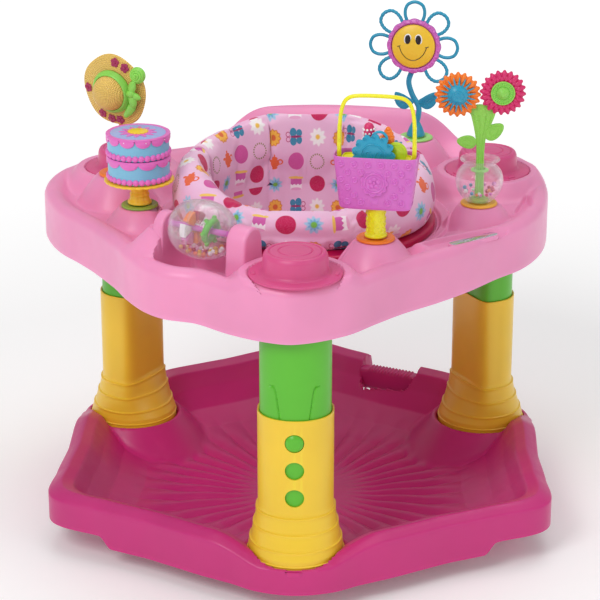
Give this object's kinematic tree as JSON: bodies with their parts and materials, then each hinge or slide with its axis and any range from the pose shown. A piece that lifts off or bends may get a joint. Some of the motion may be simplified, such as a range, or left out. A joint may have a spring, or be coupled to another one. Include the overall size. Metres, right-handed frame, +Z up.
{
  "type": "activity jumper",
  "caption": "Standing baby activity saucer: dished base, telescoping bouncing legs, play tray with swivel fabric seat and spinning clip-on toys.",
  "frame": {"origin": "centre of the three-leg circle on the flat underside of the base", "axes": "+Z up, -Y towards the front leg, +X to the right seen from the front"},
  "size_m": [0.6786, 0.72, 0.6308],
  "materials": {
    "base_plastic": "fine satin moulding",
    "tray_plastic": "satin blow moulding",
    "cap_plastic": "satin moulding",
    "crimson_plastic": "satin moulding",
    "yellow_plastic": "satin gloss moulding",
    "green_plastic": "satin gloss moulding",
    "moss_plastic": "satin moulding",
    "blue_plastic": "satin gloss moulding",
    "orange_plastic": "satin gloss moulding",
    "magenta_plastic": "satin gloss moulding",
    "purple_plastic": "satin gloss moulding",
    "cake_blue_plastic": "satin moulding",
    "straw_plastic": "woven straw relief",
    "lime_plastic": "satin gloss moulding",
    "clear_plastic": "polished transparent",
    "spring_steel": "drawn wire",
    "mirror_sheet": "silvered plastic",
    "printed_fabric": "brushed polyester with an all-over print"
  },
  "bodies": {
    "stand": {"base_saucer": "base_plastic", "outer_leg_front": "yellow_plastic", "outer_leg_left": "yellow_plastic", "outer_leg_right": "yellow_plastic"},
    "foot_right": {"stabilizer_foot_right": "base_plastic"},
    "foot_left": {"stabilizer_foot_left": "base_plastic"},
    "foot_back": {"stabilizer_foot_back": "base_plastic"},
    "columns": {"inner_leg_front": "green_plastic", "inner_leg_left": "green_plastic", "inner_leg_right": "green_plastic", "bounce_spring_front": "spring_steel", "bounce_spring_left": "spring_steel", "bounce_spring_right": "spring_steel"},
    "button_front": {"height_button_front": "green_plastic"},
    "button_left": {"height_button_left": "green_plastic"},
    "button_right": {"height_button_right": "green_plastic"},
    "tray": {"play_tray": "tray_plastic", "tray_mirror": "mirror_sheet", "globe_axle": "purple_plastic", "leg_cap_front": "cap_plastic", "leg_cap_left": "cap_plastic", "leg_cap_right": "cap_plastic", "toy_socket_hat": "orange_plastic", "toy_socket_cake": "moss_plastic", "toy_socket_purse": "orange_plastic", "toy_socket_sunflower": "green_plastic", "toy_socket_vase": "orange_plastic"},
    "seat": {"seat_ring": "crimson_plastic", "seat_retainer": "crimson_plastic", "seat_pad": "printed_fabric", "seat_sling": "printed_fabric"},
    "hat": {"hat_stem": "orange_plastic", "sun_hat": "straw_plastic", "hat_ribbon": "green_plastic"},
    "cake": {"cake_stand": "yellow_plastic", "cake_lower_tier": "cake_blue_plastic"},
    "cake_top": {"cake_upper_tier": "cake_blue_plastic"},
    "globe": {"tumble_globe": "clear_plastic", "globe_beads": "orange_plastic", "globe_charm": "green_plastic"},
    "purse": {"purse_pedestal": "yellow_plastic", "purse_body": "purple_plastic", "purse_insert": "yellow_plastic", "purse_rosette": "blue_plastic", "purse_coin": "lime_plastic", "purse_cupcake": "orange_plastic", "purse_candy": "magenta_plastic"},
    "purse_bail": {"purse_handle": "yellow_plastic"},
    "sunflower": {"sunflower_stem": "blue_plastic", "sunflower_face": "yellow_plastic"},
    "sunflower_ring": {"sunflower_petals": "purple_plastic"},
    "vase": {"flower_stem": "green_plastic", "vase_bowl": "clear_plastic", "vase_beads": "orange_plastic"},
    "orange_bloom": {"orange_flower": "orange_plastic", "orange_flower_hub": "blue_plastic"},
    "magenta_bloom": {"magenta_flower": "magenta_plastic", "magenta_flower_hub": "green_plastic"}
  },
  "joints": [
    {"name": "foot_right_flip", "type": "hinge", "parent": "stand", "child": "foot_right", "pos_m": [0.28579, -0.165, 0.054], "axis": [-0.5, -0.866, 0], "range_deg": [0, 46]},
    {"name": "foot_left_flip", "type": "hinge", "parent": "stand", "child": "foot_left", "pos_m": [-0.28579, -0.165, 0.054], "axis": [-0.5, 0.866, 0], "range_deg": [0, 46]},
    {"name": "foot_back_flip", "type": "hinge", "parent": "stand", "child": "foot_back", "pos_m": [0, 0.33, 0.054], "axis": [1, 0, 0], "range_deg": [0, 46]},
    {"name": "height_adjust", "type": "slide", "parent": "stand", "child": "columns", "axis": [0, 0, 1], "range_m": [-0.073, 0], "deforming": ["height_button_front", "height_button_left", "height_button_right"]},
    {"name": "height_button_front_press", "type": "slide", "parent": "columns", "child": "button_front", "axis": [0, 1, 0], "range_m": [0, 0.006], "stiffness_N_per_m": 600, "springref_m": -0.004},
    {"name": "height_button_left_press", "type": "slide", "parent": "columns", "child": "button_left", "axis": [0.866, -0.5, 0], "range_m": [0, 0.006], "stiffness_N_per_m": 600, "springref_m": -0.004},
    {"name": "height_button_right_press", "type": "slide", "parent": "columns", "child": "button_right", "axis": [-0.866, -0.5, 0], "range_m": [0, 0.006], "stiffness_N_per_m": 600, "springref_m": -0.004},
    {"name": "tray_bounce", "type": "slide", "parent": "columns", "child": "tray", "axis": [0, 0, 1], "range_m": [-0.02, 0], "stiffness_N_per_m": 5000, "springref_m": 0.02, "deforming": ["bounce_spring_front", "bounce_spring_left", "bounce_spring_right"]},
    {"name": "seat_swivel", "type": "hinge", "parent": "tray", "child": "seat", "pos_m": [0, 0, 0.397], "axis": [0, 0, 1], "continuous": true},
    {"name": "hat_turn", "type": "hinge", "parent": "tray", "child": "hat", "pos_m": [-0.25, 0.048, 0.44], "axis": [0, 0, 1], "range_deg": [-45, 45]},
    {"name": "cake_turn", "type": "hinge", "parent": "tray", "child": "cake", "pos_m": [-0.21, -0.048, 0.427], "axis": [0, 0, 1], "continuous": true},
    {"name": "cake_top_turn", "type": "hinge", "parent": "cake", "child": "cake_top", "pos_m": [-0.21, -0.048, 0.4975], "axis": [0, 0, 1], "continuous": true},
    {"name": "globe_spin", "type": "hinge", "parent": "tray", "child": "globe", "pos_m": [-0.117, -0.2, 0.447], "axis": [0.866, -0.5, 0], "continuous": true},
    {"name": "purse_turn", "type": "hinge", "parent": "tray", "child": "purse", "pos_m": [0.095, -0.186, 0.432], "axis": [0, 0, 1], "range_deg": [-40, 40]},
    {"name": "purse_handle_swing", "type": "hinge", "parent": "purse", "child": "purse_bail", "pos_m": [0.095, -0.186, 0.537], "axis": [0.9903, -0.1392, 0], "range_deg": [-50, 50]},
    {"name": "sunflower_turn", "type": "hinge", "parent": "tray", "child": "sunflower", "pos_m": [0.15, 0.245, 0.436], "axis": [0, 0, 1], "range_deg": [-60, 60]},
    {"name": "sunflower_spin", "type": "hinge", "parent": "sunflower", "child": "sunflower_ring", "pos_m": [0.145, 0.244, 0.569], "axis": [-0.1901, -0.9779, 0.0872], "continuous": true},
    {"name": "vase_turn", "type": "hinge", "parent": "tray", "child": "vase", "pos_m": [0.228, -0.025, 0.427], "axis": [0, 0, 1], "range_deg": [-45, 45]},
    {"name": "orange_flower_spin", "type": "hinge", "parent": "vase", "child": "orange_bloom", "pos_m": [0.197, -0.025, 0.5745], "axis": [0, -1, 0], "continuous": true},
    {"name": "magenta_flower_spin", "type": "hinge", "parent": "vase", "child": "magenta_bloom", "pos_m": [0.2542, -0.025, 0.5775], "axis": [0, -1, 0], "continuous": true}
  ],
  "couplings": [
    {"joint": "magenta_flower_spin", "follows": "orange_flower_spin", "ratio": -1}
  ]
}
